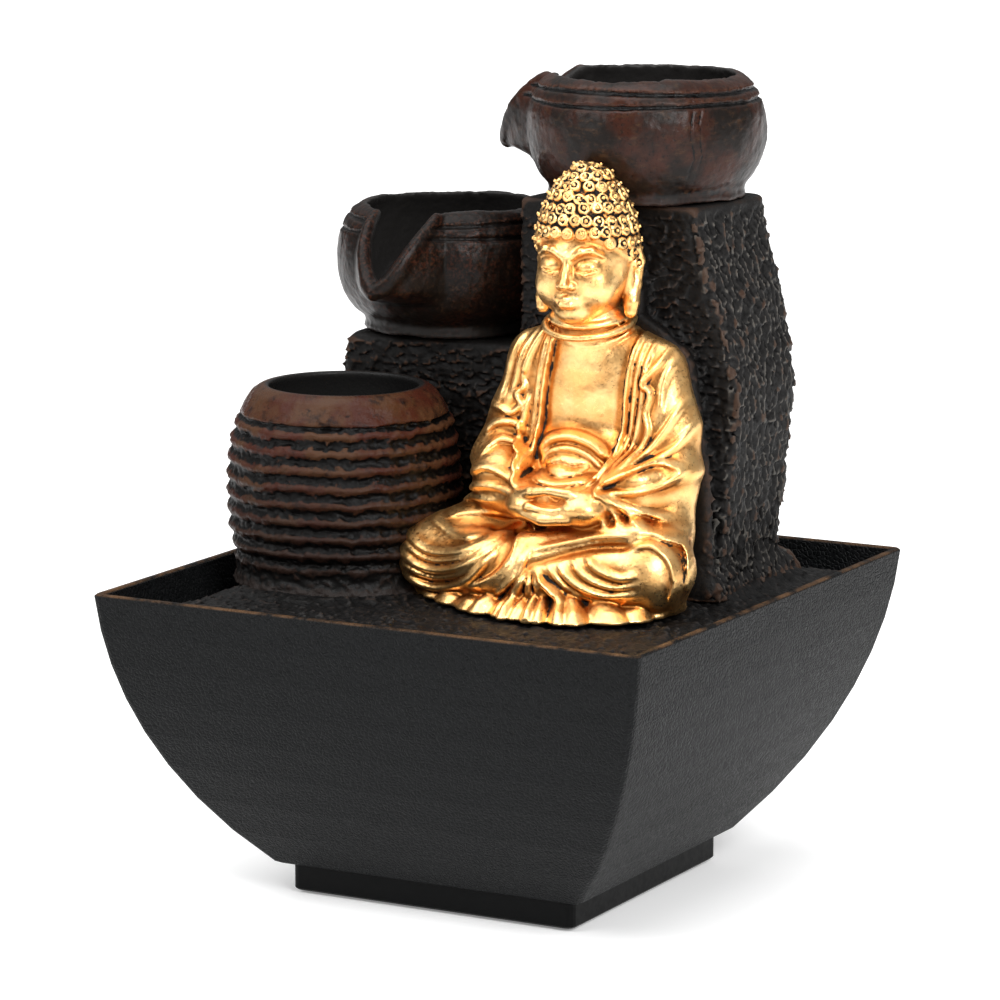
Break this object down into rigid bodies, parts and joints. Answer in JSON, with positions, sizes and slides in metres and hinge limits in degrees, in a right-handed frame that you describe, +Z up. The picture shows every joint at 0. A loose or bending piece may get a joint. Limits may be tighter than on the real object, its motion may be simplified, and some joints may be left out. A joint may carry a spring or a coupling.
{
  "type": "tabletop water fountain",
  "caption": "Square flared basin with a lift-out sculpture: stepped rocks, spouted bowls, a ribbed jar, a seated figure, and a submersible pump with a riser hose.",
  "frame": {"origin": "on the table under the middle of the basin", "axes": "+Z up, -Y the front that the figure faces, +X to the figure's left"},
  "size_m": [0.18, 0.18, 0.2438],
  "materials": {
    "basin_plastic": "near-black, leather grain on the flared walls, smooth on the foot",
    "rubber": "matt black rubber",
    "resin_rock": "near-black cast resin, chipped, dry-brushed brown on raised edges",
    "resin_vessel": "dark reddish-brown cast resin with a worn sheen",
    "resin_gold": "gold paint over black, dark in the recesses",
    "pump_black": "black moulded plastic",
    "pump_grey": "dark grey moulded plastic",
    "hose": "cloudy silicone",
    "magnet": "dark sintered ferrite",
    "impeller_white": "white moulded plastic",
    "steel": "ground steel",
    "ceramic": "ceramic bearing"
  },
  "bodies": {
    "base": {"basin": "basin_plastic", "foot_pad_front_left": "rubber", "foot_pad_front_right": "rubber", "foot_pad_back_left": "rubber", "foot_pad_back_right": "rubber", "pump_motor_housing": "pump_black", "cable_gland": "pump_grey", "pump_volute_cover": "pump_black", "rotor_shaft": "steel", "bush_front": "ceramic", "bush_rear": "ceramic", "suction_cup_front_left": "rubber", "suction_cup_front_right": "rubber", "suction_cup_back_left": "rubber", "suction_cup_back_right": "rubber"},
    "sculpture": {"deck": "resin_rock", "tall_rock": "resin_rock", "short_rock": "resin_rock", "upper_bowl": "resin_vessel", "middle_bowl": "resin_vessel", "ribbed_jar": "resin_vessel", "seated_figure": "resin_gold", "outlet_nozzle": "pump_grey", "riser_hose": "hose"},
    "rotor": {"rotor_magnet": "magnet", "impeller": "impeller_white"},
    "strainer": {"strainer_cover": "pump_black"},
    "dial": {"flow_dial": "pump_grey"}
  },
  "joints": [
    {"name": "sculpture_lift", "type": "slide", "parent": "base", "child": "sculpture", "axis": [0, 0, 1], "range_m": [0, 0.08]},
    {"name": "impeller_spin", "type": "hinge", "parent": "base", "child": "rotor", "pos_m": [0, 0.03, 0.0228], "axis": [1, 0, 0], "continuous": true},
    {"name": "strainer_pull", "type": "slide", "parent": "base", "child": "strainer", "axis": [1, 0, 0], "range_m": [0, 0.008]},
    {"name": "flow_dial_turn", "type": "hinge", "parent": "strainer", "child": "dial", "pos_m": [0.033, 0.03, 0.0228], "axis": [1, 0, 0], "range_deg": [0, 90]}
  ]
}
